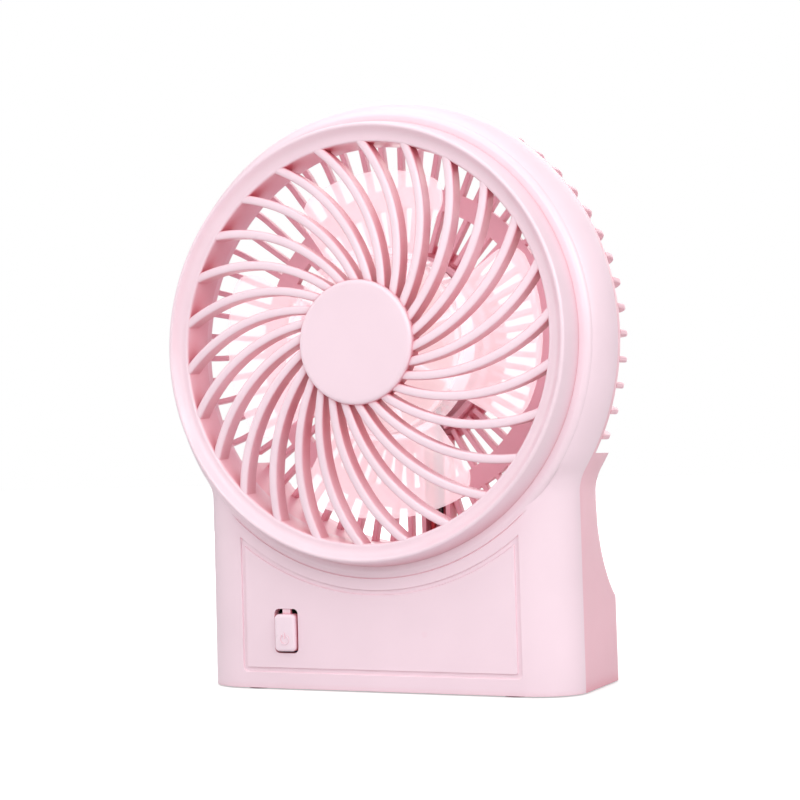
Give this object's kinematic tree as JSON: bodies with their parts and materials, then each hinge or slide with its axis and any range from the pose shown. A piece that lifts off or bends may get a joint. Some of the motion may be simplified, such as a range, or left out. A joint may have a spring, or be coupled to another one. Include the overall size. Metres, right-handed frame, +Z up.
{
  "type": "handheld electric fan",
  "caption": "Small rechargeable fan with a round swirl-ribbed head on a flat-bottomed pedestal; a motor turns the bladed rotor in the duct and a push button switches it.",
  "frame": {"origin": "centre of the standing footprint, on the plane of the rubber feet", "axes": "+Z up; the front grille faces -Y; X runs left to right seen from the front; the rotor turns about an axis parallel to Y"},
  "size_m": [0.105, 0.04, 0.126],
  "materials": {
    "shell_pink": "light pink satin moulded plastic",
    "button_pink": "light pink satin moulded plastic, slightly deeper",
    "blade_pink": "glossy translucent pale pink plastic",
    "steel": "plain steel",
    "nickel": "nickel strip",
    "bronze": "sintered bronze",
    "copper": "copper",
    "nylon": "natural nylon",
    "ferrite": "dark grey",
    "clear_plastic": "clear plastic",
    "board_green": "green solder mask",
    "sleeve_blue": "shrunk plastic sleeve",
    "foam": "closed-cell foam",
    "lead_red": "red insulation",
    "lead_black": "black insulation",
    "rubber": "soft pink-grey rubber"
  },
  "bodies": {
    "housing": {"front_shell": "shell_pink", "rear_grille": "shell_pink", "motor_mount": "shell_pink", "rear_cover": "shell_pink", "front_grille": "shell_pink", "grille_cap": "shell_pink", "motor_can": "steel", "motor_end_cap": "nylon", "motor_front_bush": "bronze", "motor_rear_bush": "bronze", "motor_magnets": "ferrite", "motor_brushes": "copper", "motor_terminals": "copper", "motor_retainer": "nylon", "motor_retainer_screws": "steel", "tact_switch_body": "nylon", "indicator_led": "clear_plastic", "light_pipe": "clear_plastic", "circuit_board": "board_green", "board_screws": "steel", "charging_socket": "steel", "control_chip": "ferrite", "inductor": "ferrite", "battery_cell": "steel", "battery_sleeve": "sleeve_blue", "battery_tabs": "nickel", "battery_pad": "foam", "motor_lead_red": "lead_red", "motor_lead_black": "lead_black", "battery_leads": "lead_red", "case_screws": "steel", "rubber_feet": "rubber"},
    "rotor": {"fan_rotor": "blade_pink", "motor_shaft": "steel", "thrust_washer": "nylon", "armature_core": "steel", "armature_windings": "copper", "commutator": "copper"},
    "button": {"power_button": "button_pink"},
    "plunger": {"switch_plunger": "nylon"}
  },
  "joints": [
    {"name": "rotor_spin", "type": "hinge", "parent": "housing", "child": "rotor", "pos_m": [0, 0, 0.0735], "axis": [0, -1, 0], "continuous": true},
    {"name": "button_press", "type": "hinge", "parent": "housing", "child": "button", "pos_m": [-0.0216, -0.0126, 0.0174], "axis": [1, 0, 0], "range_deg": [0, 2.6], "stiffness_Nm_per_rad": 0.05},
    {"name": "plunger_slide", "type": "slide", "parent": "housing", "child": "plunger", "axis": [0, 1, 0], "range_m": [0, 0.0003]}
  ],
  "couplings": [
    {"joint": "plunger_slide", "follows": "button_press", "m_per_rad": 0.0062}
  ]
}
